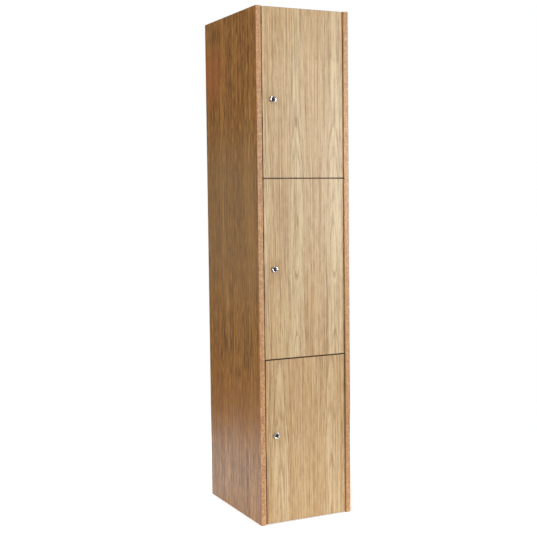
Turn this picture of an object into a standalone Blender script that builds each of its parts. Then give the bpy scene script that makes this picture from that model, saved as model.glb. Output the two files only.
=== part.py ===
"""Three-tier coin operated locker: an oak-veneered carcass with three inset doors.

Each door hangs on a continuous (piano) hinge at its right edge. It carries a coin-return lock
on its inner face, whose key plug shows as a small chrome cylinder near the door's left edge.
Frame: metres, +Z up, front towards -Y, origin at the centre of the footprint on the floor.
"""
import math

import bmesh
import bpy
from mathutils import Matrix, Vector

MM = 0.001
FIT = 0.3 * MM                 # gap left between pieces that rest on each other

# Carcass
WIDTH = 305 * MM
DEPTH = 381 * MM
HEIGHT = 1524 * MM
PANEL = 16 * MM                # veneered board
BACK_PANEL = 6 * MM
RABBET = 8 * MM                # step in the side panels that takes the back panel
BAND = 3 * MM                  # solid lipping on the side panels' front edges
ARRIS = 0.8 * MM               # eased edges of boards
UPPER_SEAM = 0.675 * HEIGHT    # height of the joint between upper and middle door
LOWER_SEAM = 0.325 * HEIGHT
SEAM_GAP = 2.6 * MM
TOP_GAP = 1.5 * MM
FLOOR_GAP = 3 * MM
SHELF_SETBACK = 1.5 * MM       # from the doors' inner faces to the shelves' front edges

# Doors and their hinges
DOOR = 16 * MM
LATCH_GAP = 2 * MM
HINGE_GAP = 3 * MM
LEAF = 0.8 * MM
LEAF_WIDTH = 12.5 * MM
LEAF_INSET = 2 * MM            # leaf ends stop short of the door's ends
AXIS_PROUD = 1.8 * MM          # hinge axis in front of the door's face
KNUCKLE_RADIUS = 2.1 * MM
KNUCKLE_BORE = 1.3 * MM
PIN_RADIUS = 1.0 * MM
KNUCKLE_PITCH = 50.8 * MM
KNUCKLE_GAP = 0.4 * MM
ROUND = 16                     # sides of the hinge's small round pieces

# Lock: u runs to the right, v back from the door's inner face and w up, from the plug's axis
LOCK_PROUD = 4.5 * MM
HEAD_BEVEL = 0.9 * MM
LOCK_INSET = 33.5 * MM         # plug axis from the door's left edge
LOCK_HEIGHTS = (0.825 * HEIGHT, 0.5 * HEIGHT, 0.1755 * HEIGHT)
CASE_U = (-25 * MM, 47 * MM)
CASE_V = (FIT, 24.3 * MM)
CASE_W = (-62 * MM, 38 * MM)
CASE_WALL = 2 * MM
COVER = 2 * MM
HEAD_RADIUS = 9 * MM
BARREL_RADIUS = 8 * MM
BARREL_END = 2 * MM            # barrel's rear end behind the door
PLUG_BORE = 5.8 * MM
PLUG_RADIUS = 5.5 * MM
PLUG_RECESS = 1.6 * MM         # plug's face below the head's rim
PLUG_BEVEL = 0.4 * MM
DISH = (1.2 * MM, 1.4 * MM)    # width and depth of the head's bevel around the plug
KEYWAY = (1.4 * MM, 4 * MM, 6.8 * MM)   # width, depth behind the door's face, height
SHANK_RADIUS = 3 * MM
CAM_V = (3.3 * MM, 5.8 * MM)
CAM_HUB = 6.5 * MM
CRANK = 8 * MM                 # crank pin beside and above the plug's axis at rest
CRANK_PIN = 2 * MM
BOLT_V = (6.2 * MM, 11.2 * MM)
BOLT_U = (-24.7 * MM, 16.4 * MM)
BOLT_W = (3 * MM, 19 * MM)
BOLT_THROW = 16 * MM
STRIKE = 1.5 * MM
STRIKE_HALF = 25 * MM
STRIKE_WIDTH = 14.4 * MM
POCKET = 8 * MM                # depth of the bolt's pocket in the side panel
CHANNEL_U = (19 * MM, 45 * MM)
CHANNEL_V = (19 * MM, 24.3 * MM)
COIN_RADIUS = 12 * MM
COIN_THICKNESS = 2.2 * MM
CATCH_PIVOT = (9 * MM, -32 * MM)
CATCH_NOSE = (8 * MM, 16.5 * MM)   # nose from the pivot
CATCH_V = (20.2 * MM, 23.2 * MM)
CATCH_HUB = 4.5 * MM
CATCH_ARM = 3.2 * MM
CATCH_TIP = 2 * MM
CATCH_BORE = 2.8 * MM
CATCH_WINDOW = (-28 * MM, -11 * MM)    # w of the channel wall's opening for the nose
POST_RADIUS = 2.5 * MM
GUIDE_END = 12 * MM            # v to which the bolt's guides stand
GUIDE_BREAK = (-14 * MM, 12.5 * MM)    # the lower guide leaves this u free for the cam
CHANNEL_FLOOR_TOP = 22 * MM
NOTCH_HALF = 8 * MM
NOTCH_HEIGHT = 14 * MM
COIN_BEVEL = 0.25 * MM

FRONT = -(DEPTH - LOCK_PROUD) / 2
BACK = FRONT + DEPTH
INNER_X = WIDTH / 2 - PANEL
DOOR_LEFT = -INNER_X + LATCH_GAP
DOOR_RIGHT = INNER_X - HINGE_GAP
DOOR_BACK = FRONT + DOOR
AXIS_X = INNER_X - HINGE_GAP / 2
AXIS_Y = FRONT - AXIS_PROUD
LOCK_X = DOOR_LEFT + LOCK_INSET
TIERS = (
    ("upper", UPPER_SEAM + SEAM_GAP / 2, HEIGHT - TOP_GAP, LOCK_HEIGHTS[0]),
    ("middle", LOWER_SEAM + SEAM_GAP / 2, UPPER_SEAM - SEAM_GAP / 2, LOCK_HEIGHTS[1]),
    ("lower", FLOOR_GAP, LOWER_SEAM - SEAM_GAP / 2, LOCK_HEIGHTS[2]),
)


def clear_scene():
    for item in list(bpy.data.objects):
        bpy.data.objects.remove(item, do_unlink=True)


def make_collection(name):
    collection = bpy.data.collections.new(name)
    bpy.context.scene.collection.children.link(collection)
    return collection


def make_material(name, colour, roughness, metallic):
    material = bpy.data.materials.new(name)
    material.use_nodes = True
    shader = material.node_tree.nodes["Principled BSDF"]
    shader.inputs["Base Color"].default_value = (*colour, 1.0)
    shader.inputs["Roughness"].default_value = roughness
    shader.inputs["Metallic"].default_value = metallic
    material.diffuse_color = (*colour, 1.0)
    return material


clear_scene()
PARTS = make_collection("coin_operated_locker")
CUTTERS = make_collection("cutters")
FINISHES = {
    "door": ((0.60, 0.44, 0.27), 0.45, 0.0),
    "side": ((0.34, 0.17, 0.06), 0.45, 0.0),
    "band": ((0.62, 0.36, 0.20), 0.40, 0.0),
    "inner": ((0.58, 0.42, 0.26), 0.55, 0.0),
    "hardboard": ((0.30, 0.18, 0.09), 0.75, 0.0),
    "hinge_brass": ((0.42, 0.27, 0.12), 0.40, 1.0),
    "chrome": ((0.75, 0.75, 0.76), 0.15, 1.0),
    "steel": ((0.55, 0.55, 0.56), 0.35, 1.0),
    "case_plastic": ((0.05, 0.05, 0.055), 0.50, 0.0),
    "token_brass": ((0.70, 0.52, 0.22), 0.35, 1.0),
}


def finish(item, slot):
    """Give a piece its own material and put it in the locker's collection."""
    item.data.materials.append(make_material(item.name, *FINISHES[slot]))
    CUTTERS.objects.unlink(item)
    PARTS.objects.link(item)
    item.hide_render = False
    item.display_type = "TEXTURED"
    return item


def new_object(name, shape, origin=(0, 0, 0)):
    """Make a cutter or blank from a bmesh whose points are in world coordinates."""
    mesh = bpy.data.meshes.new(name)
    bmesh.ops.translate(shape, verts=shape.verts, vec=-Vector(origin))
    shape.to_mesh(mesh)
    shape.free()
    item = bpy.data.objects.new(name, mesh)
    item.location = origin
    item.hide_render = True
    item.display_type = "WIRE"
    CUTTERS.objects.link(item)
    return item


def box(name, x, y, z, origin=(0, 0, 0)):
    shape = bmesh.new()
    centre = Vector(((x[0] + x[1]) / 2, (y[0] + y[1]) / 2, (z[0] + z[1]) / 2))
    size = Vector((x[1] - x[0], y[1] - y[0], z[1] - z[0]))
    matrix = Matrix.Translation(centre) @ Matrix.Diagonal((*size, 1.0))
    bmesh.ops.create_cube(shape, size=1.0, matrix=matrix)
    return new_object(name, shape, origin)


def rod(name, centre, radius, length, axis, sides=24, origin=(0, 0, 0)):
    """Make a cylinder about `centre` along the world axis "Y" or "Z"."""
    shape = bmesh.new()
    turn = Matrix.Rotation(math.pi / 2, 4, "X") if axis == "Y" else Matrix.Identity(4)
    bmesh.ops.create_cone(shape, cap_ends=True, segments=sides, radius1=radius, radius2=radius,
                          depth=length, matrix=Matrix.Translation(centre) @ turn)
    return new_object(name, shape, origin)


def turned(name, profile, origin, steps=32):
    """Turn a profile of (radius, distance forward) about the axis through `origin` along Y."""
    mesh = bpy.data.meshes.new(name)
    points = [(radius, 0, forward) for radius, forward in profile]
    edges = [(i, i + 1) for i in range(len(points) - 1)]
    if profile[0][0] > 0:
        edges.append((len(points) - 1, 0))
    mesh.from_pydata(points, edges, [])
    item = bpy.data.objects.new(name, mesh)
    item.location = origin
    item.rotation_euler = (math.pi / 2, 0, 0)
    item.hide_render = True
    item.display_type = "WIRE"
    CUTTERS.objects.link(item)
    screw = item.modifiers.new("turn", "SCREW")
    screw.steps = steps
    screw.render_steps = steps
    screw.use_merge_vertices = True
    screw.merge_threshold = 0.00001
    return item


def boolean(target, tool, operation):
    modifier = target.modifiers.new(tool.name, "BOOLEAN")
    modifier.operation = operation
    modifier.solver = "EXACT"
    modifier.object = tool


def cut(target, tool):
    boolean(target, tool, "DIFFERENCE")


def join(target, tool):
    boolean(target, tool, "UNION")


def ease_edges(item, width=ARRIS):
    bevel = item.modifiers.new("arris", "BEVEL")
    bevel.width = width
    bevel.segments = 1
    bevel.limit_method = "ANGLE"


def hang(item, parent):
    """Parent a piece to the empty or piece that carries it, keeping its place."""
    item.parent = parent
    item.location = Vector(item.location) - world_place(parent)


def world_place(item):
    place = Vector(item.location)
    if item.parent:
        place += world_place(item.parent)
    return place


def axis_empty(name, place, parent=None):
    empty = bpy.data.objects.new(name, None)
    empty.empty_display_size = 20 * MM
    empty.location = place
    PARTS.objects.link(empty)
    if parent:
        hang(empty, parent)
    return empty


def side_panel(name, sign):
    """Board that runs the locker's full height, stepped at the back for the back panel."""
    x = sorted((sign * WIDTH / 2, sign * INNER_X))
    panel = box(name, x, (FRONT + BAND + FIT, BACK), (0, HEIGHT))
    step_x = sorted((sign * (INNER_X - PANEL), sign * (INNER_X + RABBET)))
    step = box(name + "_rabbet", step_x, (BACK - BACK_PANEL - FIT, BACK + PANEL),
               (-PANEL, HEIGHT + PANEL))
    cut(panel, step)
    if sign < 0:
        for tier, _, _, lock_z in TIERS:
            cut(panel, bolt_hole(tier + "_bolt_pocket", lock_z, -INNER_X - POCKET))
    return finish(panel, "side")


def bolt_hole(name, lock_z, outer_x):
    """Cutter for the bolt's way through the strike plate and into the side panel."""
    clearance = 1 * MM
    y = (DOOR_BACK + BOLT_V[0] - clearance, DOOR_BACK + BOLT_V[1] + clearance)
    z = (lock_z + BOLT_W[0] - clearance, lock_z + BOLT_W[1] + clearance)
    return box(name, (outer_x, -INNER_X + 2 * STRIKE), y, z)


def edge_band(name, sign):
    x = sorted((sign * WIDTH / 2, sign * INNER_X))
    band = box(name, x, (FRONT, FRONT + BAND), (0, HEIGHT))
    ease_edges(band)
    return finish(band, "band")


def cross_board(name, bottom, slot):
    """Top, bottom or shelf: fits between the sides, behind the doors and before the back."""
    reach = INNER_X - FIT
    y = (DOOR_BACK + SHELF_SETBACK, BACK - BACK_PANEL - 2 * FIT)
    board = box(name, (-reach, reach), y, (bottom, bottom + PANEL))
    return finish(board, slot)


def back_panel():
    reach = INNER_X + RABBET - FIT
    panel = box("back_panel", (-reach, reach), (BACK - BACK_PANEL, BACK), (0, HEIGHT))
    return finish(panel, "hardboard")


def carcass():
    side_panel("left_side_panel", -1)
    side_panel("right_side_panel", 1)
    edge_band("left_edge_band", -1)
    edge_band("right_edge_band", 1)
    cross_board("top_panel", HEIGHT - PANEL, "side")
    cross_board("bottom_panel", 0, "inner")
    cross_board("upper_shelf", UPPER_SEAM - PANEL / 2, "inner")
    cross_board("lower_shelf", LOWER_SEAM - PANEL / 2, "inner")
    back_panel()


def door(tier, bottom, top, lock_z, axis):
    board = box(tier + "_door", (DOOR_LEFT, DOOR_RIGHT), (FRONT, DOOR_BACK), (bottom, top),
                origin=(AXIS_X, AXIS_Y, bottom))
    ease_edges(board)
    centre = (LOCK_X, (FRONT + DOOR_BACK) / 2, lock_z)
    cut(board, rod(tier + "_barrel_hole", centre, BARREL_RADIUS + FIT, 2 * DOOR, "Y", 32))
    hang(board, axis)
    return finish(board, "door")


def knuckle_count(length):
    """Odd, so that the frame leaf has the knuckle at both ends."""
    return 2 * int(length / (2 * KNUCKLE_PITCH)) + 1


def hinge_leaf(name, bottom, top, sign, first):
    """Leaf of the continuous hinge; sign is +1 on the side panel and -1 on the door's edge."""
    count = knuckle_count(top - bottom)
    pitch = (top - bottom) / count
    near = sign * (HINGE_GAP / 2 - FIT - LEAF)
    far = sign * (HINGE_GAP / 2 - FIT)
    x = sorted((AXIS_X + near, AXIS_X + far))
    leaf_front = AXIS_Y + KNUCKLE_RADIUS + FIT
    leaf = box(name, x, (leaf_front, leaf_front + LEAF_WIDTH), (bottom, top),
               origin=(AXIS_X, AXIS_Y, bottom))
    wall_middle = AXIS_Y + (KNUCKLE_RADIUS + PIN_RADIUS) / 2
    for index in range(first, count, 2):
        low = bottom + index * pitch + KNUCKLE_GAP / 2
        high = low + pitch - KNUCKLE_GAP
        label = f"{name}_{index}"
        tab = box(label + "_tab", x, (wall_middle, leaf_front + LEAF), (low, high))
        join(leaf, tab)
        centre = (AXIS_X, AXIS_Y, (low + high) / 2)
        join(leaf, rod(label + "_knuckle", centre, KNUCKLE_RADIUS, high - low, "Z", ROUND))
    middle = (AXIS_X, AXIS_Y, (bottom + top) / 2)
    cut(leaf, rod(name + "_bore", middle, KNUCKLE_BORE, 2 * (top - bottom), "Z", ROUND))
    return finish(leaf, "hinge_brass")


def hinge(tier, bottom, top, axis):
    low = bottom + LEAF_INSET
    high = top - LEAF_INSET
    hinge_leaf(tier + "_hinge_frame_leaf", low, high, 1, 0)
    hang(hinge_leaf(tier + "_hinge_door_leaf", low, high, -1, 1), axis)
    centre = (AXIS_X, AXIS_Y, (low + high) / 2)
    pin = rod(tier + "_hinge_pin", centre, PIN_RADIUS, high - low, "Z", ROUND, origin=centre)
    finish(pin, "hinge_brass")


def lock_box(name, u, v, w, lock_z, origin=(0, 0, 0)):
    """Box from ranges in the lock's own u, v and w."""
    x = (LOCK_X + u[0], LOCK_X + u[1])
    y = (DOOR_BACK + v[0], DOOR_BACK + v[1])
    z = (lock_z + w[0], lock_z + w[1])
    return box(name, x, y, z, origin)


def lock_rod(name, u, w, v, radius, lock_z, sides=24, origin=(0, 0, 0)):
    """Cylinder along v, centred at u and w."""
    centre = (LOCK_X + u, DOOR_BACK + (v[0] + v[1]) / 2, lock_z + w)
    return rod(name, centre, radius, v[1] - v[0], "Y", sides, origin)


def lock_case(tier, lock_z, axis):
    """Moulded case on the door's inner face, open to the back, with the coin's channel."""
    name = tier + "_lock_case"
    case = lock_box(name, CASE_U, CASE_V, CASE_W, lock_z)
    inner_u = (CASE_U[0] + CASE_WALL, CASE_U[1] - CASE_WALL)
    inner_v = (CASE_V[0] + CASE_WALL, CASE_V[1] + CASE_WALL)
    inner_w = (CASE_W[0] + CASE_WALL, CASE_W[1] - CASE_WALL)
    cut(case, lock_box(name + "_hollow", inner_u, inner_v, inner_w, lock_z))
    root = CASE_V[0] + CASE_WALL / 2     # ribs start inside the front wall
    embed = CASE_WALL / 4
    wall_u = (CHANNEL_U[0] - CASE_WALL, CHANNEL_U[0])
    wall_w = (inner_w[0] - embed, inner_w[1] + embed)
    join(case, lock_box(name + "_channel_wall", wall_u, (root, CASE_V[1]), wall_w, lock_z))
    floor_v = (CHANNEL_V[0] - CASE_WALL, CHANNEL_V[0])
    floor_u = (CHANNEL_U[0] - embed, CHANNEL_U[1] + embed)
    floor_w = (inner_w[0] - embed, CHANNEL_FLOOR_TOP)
    join(case, lock_box(name + "_channel_floor", floor_u, floor_v, floor_w, lock_z))
    guide_v = (root, GUIDE_END)
    upper_w = (BOLT_W[1] + FIT, BOLT_W[1] + FIT + CASE_WALL)
    lower_w = (BOLT_W[0] - FIT - CASE_WALL, BOLT_W[0] - FIT)
    left_u = (inner_u[0] - embed, GUIDE_BREAK[0])
    right_u = (GUIDE_BREAK[1], wall_u[0] + embed)
    full_u = (left_u[0], right_u[1])
    join(case, lock_box(name + "_upper_guide", full_u, guide_v, upper_w, lock_z))
    join(case, lock_box(name + "_left_guide", left_u, guide_v, lower_w, lock_z))
    join(case, lock_box(name + "_right_guide", right_u, guide_v, lower_w, lock_z))
    post_v = (root, CATCH_V[1] + FIT)
    join(case, lock_rod(name + "_post", *CATCH_PIVOT, post_v, POST_RADIUS, lock_z))
    hole_v = (CASE_V[0] - CASE_WALL, root + CASE_WALL)
    cut(case, lock_rod(name + "_barrel_hole", 0, 0, hole_v, BARREL_RADIUS + FIT, lock_z, 32))
    mouth_u = (CASE_U[0] - CASE_WALL, CASE_U[0] + 2 * CASE_WALL)
    mouth_v = (BOLT_V[0] - FIT, BOLT_V[1] + FIT)
    cut(case, lock_box(name + "_bolt_mouth", mouth_u, mouth_v, BOLT_W, lock_z))
    slot_u = (CHANNEL_U[0] + FIT, CHANNEL_U[1] - FIT)
    slot_v = (CHANNEL_V[0] + FIT, CHANNEL_V[1] - FIT)
    slot_w = (CASE_W[1] - 2 * CASE_WALL, CASE_W[1] + CASE_WALL)
    cut(case, lock_box(name + "_coin_slot", slot_u, slot_v, slot_w, lock_z))
    window_u = (wall_u[0] - CASE_WALL / 2, wall_u[1] + CASE_WALL / 2)
    window_v = (CATCH_V[0] - 2 * FIT, CASE_V[1] + CASE_WALL)
    cut(case, lock_box(name + "_catch_window", window_u, window_v, CATCH_WINDOW, lock_z))
    hang(case, axis)
    return finish(case, "case_plastic")


def lock_cover(tier, lock_z, axis):
    """Plate that closes the case, notched at the bottom so that a finger reaches the coin."""
    name = tier + "_lock_cover"
    cover_v = (CASE_V[1] + FIT, CASE_V[1] + FIT + COVER)
    cover = lock_box(name, CASE_U, cover_v, CASE_W, lock_z)
    through = (cover_v[0] - COVER, cover_v[1] + COVER)
    coin_u = sum(CHANNEL_U) / 2
    notch_top = CASE_W[0] + NOTCH_HEIGHT
    notch_u = (coin_u - NOTCH_HALF, coin_u + NOTCH_HALF)
    cut(cover, lock_box(name + "_notch", notch_u, through, (CASE_W[0] - COVER, notch_top), lock_z))
    cut(cover, lock_rod(name + "_notch_end", coin_u, notch_top, through, NOTCH_HALF,
                         lock_z, 32))
    hang(cover, axis)
    return finish(cover, "case_plastic")


def lock_barrel(tier, lock_z, axis):
    """Chrome cylinder through the door, with a bevelled head proud of the door's face."""
    rim = LOCK_PROUD
    end = -DOOR - BARREL_END
    profile = (
        (HEAD_RADIUS - HEAD_BEVEL, rim), (HEAD_RADIUS, rim - HEAD_BEVEL), (HEAD_RADIUS, FIT),
        (BARREL_RADIUS, FIT), (BARREL_RADIUS, end), (PLUG_BORE, end),
        (PLUG_BORE, rim - DISH[1]), (PLUG_BORE + DISH[0], rim),
    )
    barrel = turned(tier + "_lock_barrel", profile, (LOCK_X, FRONT, lock_z))
    hang(barrel, axis)
    return finish(barrel, "chrome")


def key_plug(tier, lock_z, plug_axis):
    """Plug that the key turns, with its keyway and the shank that drives the cam."""
    face = LOCK_PROUD - PLUG_RECESS
    shoulder = -DOOR - CAM_V[0] + FIT
    shank_end = -DOOR - CAM_V[1]
    profile = (
        (0, face), (PLUG_RADIUS - PLUG_BEVEL, face), (PLUG_RADIUS, face - PLUG_BEVEL),
        (PLUG_RADIUS, shoulder), (SHANK_RADIUS, shoulder), (SHANK_RADIUS, shank_end),
        (0, shank_end),
    )
    plug = turned(tier + "_key_plug", profile, (LOCK_X, FRONT, lock_z))
    keyway_x = (LOCK_X - KEYWAY[0] / 2, LOCK_X + KEYWAY[0] / 2)
    keyway_y = (FRONT - LOCK_PROUD, FRONT + KEYWAY[1])
    keyway_z = (lock_z - KEYWAY[2] / 2, lock_z + KEYWAY[2] / 2)
    cut(plug, box(tier + "_keyway", keyway_x, keyway_y, keyway_z))
    hang(plug, plug_axis)
    return finish(plug, "steel")


def lock_cam(tier, lock_z, plug_axis):
    """Cam on the plug's shank; its crank pin works in the deadbolt's slot."""
    name = tier + "_lock_cam"
    cam = lock_rod(name, 0, 0, CAM_V, CAM_HUB, lock_z, origin=(LOCK_X, DOOR_BACK, lock_z))
    reach = math.hypot(CRANK, CRANK)
    arm = lock_box(name + "_arm", (0, reach), CAM_V, (-CRANK_PIN * 1.5, CRANK_PIN * 1.5), lock_z,
                   origin=(LOCK_X, DOOR_BACK, lock_z))
    arm.rotation_euler = (0, -math.pi / 4, 0)
    join(cam, arm)
    join(cam, lock_rod(name + "_eye", CRANK, CRANK, CAM_V, CRANK_PIN * 1.5, lock_z))
    pin_v = (CAM_V[0] + FIT, BOLT_V[1] - FIT)
    join(cam, lock_rod(name + "_crank_pin", CRANK, CRANK, pin_v, CRANK_PIN, lock_z))
    hole_v = (CAM_V[0] - CASE_WALL, CAM_V[1] + CASE_WALL)
    cut(cam, lock_rod(name + "_shank_hole", 0, 0, hole_v, SHANK_RADIUS + FIT, lock_z))
    hang(cam, plug_axis)
    return finish(cam, "steel")


def deadbolt(tier, lock_z, bolt_axis):
    """Flat bolt that the crank pin draws, with its slot upright across the travel."""
    name = tier + "_deadbolt"
    play = 0.5 * MM
    bolt = lock_box(name, BOLT_U, BOLT_V, (BOLT_W[0] + FIT, BOLT_W[1] - FIT), lock_z,
                    origin=(LOCK_X, DOOR_BACK, lock_z))
    slot_u = (CRANK - CRANK_PIN - play, CRANK + CRANK_PIN + play)
    slot_w = (CRANK - CRANK_PIN - play, math.hypot(CRANK, CRANK) + CRANK_PIN + play)
    slot_v = (BOLT_V[0] - COVER, BOLT_V[1] + COVER)
    cut(bolt, lock_box(name + "_slot", slot_u, slot_v, slot_w, lock_z))
    hang(bolt, bolt_axis)
    return finish(bolt, "steel")


def coin_catch(tier, lock_z, catch_axis):
    """Lever that swings under the coin when the key is turned, and lets it fall again."""
    name = tier + "_coin_catch"
    nose_u = CATCH_PIVOT[0] + CATCH_NOSE[0]
    nose_w = CATCH_PIVOT[1] + CATCH_NOSE[1]
    pivot = (LOCK_X + CATCH_PIVOT[0], DOOR_BACK, lock_z + CATCH_PIVOT[1])
    catch = lock_rod(name, *CATCH_PIVOT, CATCH_V, CATCH_HUB, lock_z, origin=pivot)
    length = math.hypot(*CATCH_NOSE)
    arm_u = (CATCH_PIVOT[0], CATCH_PIVOT[0] + length)
    arm_w = (CATCH_PIVOT[1] - CATCH_ARM / 2, CATCH_PIVOT[1] + CATCH_ARM / 2)
    arm = lock_box(name + "_arm", arm_u, CATCH_V, arm_w, lock_z, origin=pivot)
    arm.rotation_euler = (0, -math.atan2(CATCH_NOSE[1], CATCH_NOSE[0]), 0)
    join(catch, arm)
    join(catch, lock_rod(name + "_nose", nose_u, nose_w, CATCH_V, CATCH_TIP, lock_z))
    hole_v = (CATCH_V[0] - CASE_WALL, CATCH_V[1] + CASE_WALL)
    cut(catch, lock_rod(name + "_hole", *CATCH_PIVOT, hole_v, CATCH_BORE, lock_z))
    hang(catch, catch_axis)
    return finish(catch, "steel")


def coin(tier, lock_z, coin_axis):
    """Plain token lying on edge in the return cup at the bottom of the channel."""
    name = tier + "_coin"
    u = sum(CHANNEL_U) / 2
    w = CASE_W[0] + CASE_WALL + FIT + COIN_RADIUS
    middle = (CHANNEL_V[0] + CASE_V[1]) / 2
    v = (middle - COIN_THICKNESS / 2, middle + COIN_THICKNESS / 2)
    origin = (LOCK_X + u, DOOR_BACK + middle, lock_z + w)
    token = lock_rod(name, u, w, v, COIN_RADIUS, lock_z, 48, origin)
    ease_edges(token, COIN_BEVEL)
    hang(token, coin_axis)
    return finish(token, "token_brass")


def strike_plate(tier, lock_z):
    """Steel plate on the left side panel that takes the deadbolt."""
    name = tier + "_strike_plate"
    x = (-INNER_X + FIT, -INNER_X + FIT + STRIKE)
    middle = sum(BOLT_V) / 2
    y = (DOOR_BACK + middle - STRIKE_WIDTH / 2, DOOR_BACK + middle + STRIKE_WIDTH / 2)
    centre = lock_z + sum(BOLT_W) / 2
    plate = box(name, x, y, (centre - STRIKE_HALF, centre + STRIKE_HALF))
    cut(plate, bolt_hole(name + "_hole", lock_z, -INNER_X - POCKET))
    return finish(plate, "steel")


def lock(tier, lock_z, axis):
    lock_case(tier, lock_z, axis)
    lock_cover(tier, lock_z, axis)
    lock_barrel(tier, lock_z, axis)
    plug_axis = axis_empty(tier + "_plug_axis", (LOCK_X, FRONT, lock_z), axis)
    key_plug(tier, lock_z, plug_axis)
    lock_cam(tier, lock_z, plug_axis)
    bolt_place = (LOCK_X, DOOR_BACK + sum(BOLT_V) / 2, lock_z + sum(BOLT_W) / 2)
    deadbolt(tier, lock_z, axis_empty(tier + "_bolt_axis", bolt_place, axis))
    pivot = (LOCK_X + CATCH_PIVOT[0], DOOR_BACK + CATCH_V[0], lock_z + CATCH_PIVOT[1])
    coin_catch(tier, lock_z, axis_empty(tier + "_catch_axis", pivot, axis))
    coin_place = (LOCK_X + sum(CHANNEL_U) / 2, DOOR_BACK + CHANNEL_V[0], lock_z)
    coin(tier, lock_z, axis_empty(tier + "_coin_axis", coin_place, axis))
    strike_plate(tier, lock_z)


def tier_parts(tier, bottom, top, lock_z):
    axis = axis_empty(tier + "_door_axis", (AXIS_X, AXIS_Y, bottom))
    door(tier, bottom, top, lock_z, axis)
    hinge(tier, bottom, top, axis)
    lock(tier, lock_z, axis)


carcass()
for tier_values in TIERS:
    tier_parts(*tier_values)
bpy.context.view_layer.update()
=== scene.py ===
import math

import bmesh
import bpy
from mathutils import Matrix, Vector


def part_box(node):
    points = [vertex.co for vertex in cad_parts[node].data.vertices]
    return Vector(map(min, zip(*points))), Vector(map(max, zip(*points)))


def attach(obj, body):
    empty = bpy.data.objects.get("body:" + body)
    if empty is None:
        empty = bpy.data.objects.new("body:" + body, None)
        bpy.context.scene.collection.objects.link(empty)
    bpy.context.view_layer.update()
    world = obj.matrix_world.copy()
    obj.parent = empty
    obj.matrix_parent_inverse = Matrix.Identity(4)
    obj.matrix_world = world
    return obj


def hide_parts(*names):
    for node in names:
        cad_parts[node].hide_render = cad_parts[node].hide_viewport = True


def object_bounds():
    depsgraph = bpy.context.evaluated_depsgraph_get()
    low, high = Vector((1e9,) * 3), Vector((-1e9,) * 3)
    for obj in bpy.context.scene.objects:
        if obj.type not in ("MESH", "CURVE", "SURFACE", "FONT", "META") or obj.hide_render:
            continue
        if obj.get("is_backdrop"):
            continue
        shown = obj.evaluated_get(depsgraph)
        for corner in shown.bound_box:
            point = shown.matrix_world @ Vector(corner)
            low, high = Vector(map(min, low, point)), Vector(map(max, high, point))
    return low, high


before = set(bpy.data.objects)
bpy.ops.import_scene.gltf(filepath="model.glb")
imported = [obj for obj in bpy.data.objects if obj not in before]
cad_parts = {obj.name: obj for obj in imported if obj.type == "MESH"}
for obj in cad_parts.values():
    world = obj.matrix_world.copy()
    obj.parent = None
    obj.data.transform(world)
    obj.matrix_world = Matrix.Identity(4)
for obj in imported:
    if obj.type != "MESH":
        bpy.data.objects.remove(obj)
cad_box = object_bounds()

# ---- The viewpoint ---------------------------------------------------------------------------
# An eye at chest height, to the left of the doors and about 3 m away, that looks slightly down
# through a short tele lens. The Standard transform keeps the paper white.
EYE = (-1.420, -2.872, 0.978)
LENS = 68.46
bpy.ops.object.select_all(action="DESELECT")
bpy.ops.object.camera_add(location=EYE)
camera = bpy.context.object
camera.name = "viewpoint"
camera.data.lens = LENS
yaw, pitch, roll = math.radians(25.825), math.radians(-4.07), math.radians(-0.66)
turn = Matrix.Rotation(-yaw, 4, "Z") @ Matrix.Rotation(math.pi / 2 + pitch, 4, "X")
camera.rotation_euler = (turn @ Matrix.Rotation(roll, 4, "Z")).to_euler()
bpy.context.scene.camera = camera
bpy.context.scene.view_settings.view_transform = "Standard"

# ---- The studio ------------------------------------------------------------------------------
# White paper on the floor, which fades into the white ground, and soft boxes. The main one stands
# front right, so that the left side falls darker, and one hangs overhead.


def node(tree, kind, settings=None, **inputs):
    """Add a shader node; an input is a socket to link or a value, and inN is input number N."""
    made = tree.nodes.new("ShaderNode" + kind)
    for key, value in (settings or {}).items():
        setattr(made, key, value)
    for key, value in inputs.items():
        number = key[2:] if key.startswith("in") else ""
        socket = made.inputs[int(number) if number.isdigit() else key.replace("_", " ")]
        if isinstance(value, bpy.types.NodeSocket):
            tree.links.new(value, socket)
        else:
            socket.default_value = value
    return made


def maths(tree, operation, *values):
    """A Math node's result."""
    inputs = {f"in{i}": value for i, value in enumerate(values)}
    return node(tree, "Math", {"operation": operation}, **inputs).outputs[0]


def blended(tree, factor, first, second, blend="MIX"):
    """A colour Mix node's result."""
    settings = {"data_type": "RGBA", "blend_type": blend, "clamp_factor": True}
    return node(tree, "Mix", settings, in0=factor, in6=first, in7=second).outputs[2]


def ramped(tree, value, low, high, out_low=0.0, out_high=1.0, smooth=False):
    """A Map Range node's result, clamped."""
    settings = {"interpolation_type": "SMOOTHSTEP" if smooth else "LINEAR"}
    return node(tree, "MapRange", settings, Value=value, From_Min=low, From_Max=high,
                To_Min=out_low, To_Max=out_high).outputs[0]


def new_material(name):
    """An empty material, with its tree and shader."""
    material = bpy.data.materials.new(name)
    material.use_nodes = True
    return material, material.node_tree, material.node_tree.nodes["Principled BSDF"]


world = bpy.data.worlds.new("studio")
bpy.context.scene.world = world
world.use_nodes = True
sky = world.node_tree
seen = node(sky, "LightPath").outputs["Is Camera Ray"]
glow = blended(sky, seen, (0.10, 0.10, 0.105, 1), (1.0, 1.0, 1.0, 1))
sky.links.new(glow, sky.nodes["Background"].inputs["Color"])


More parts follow.
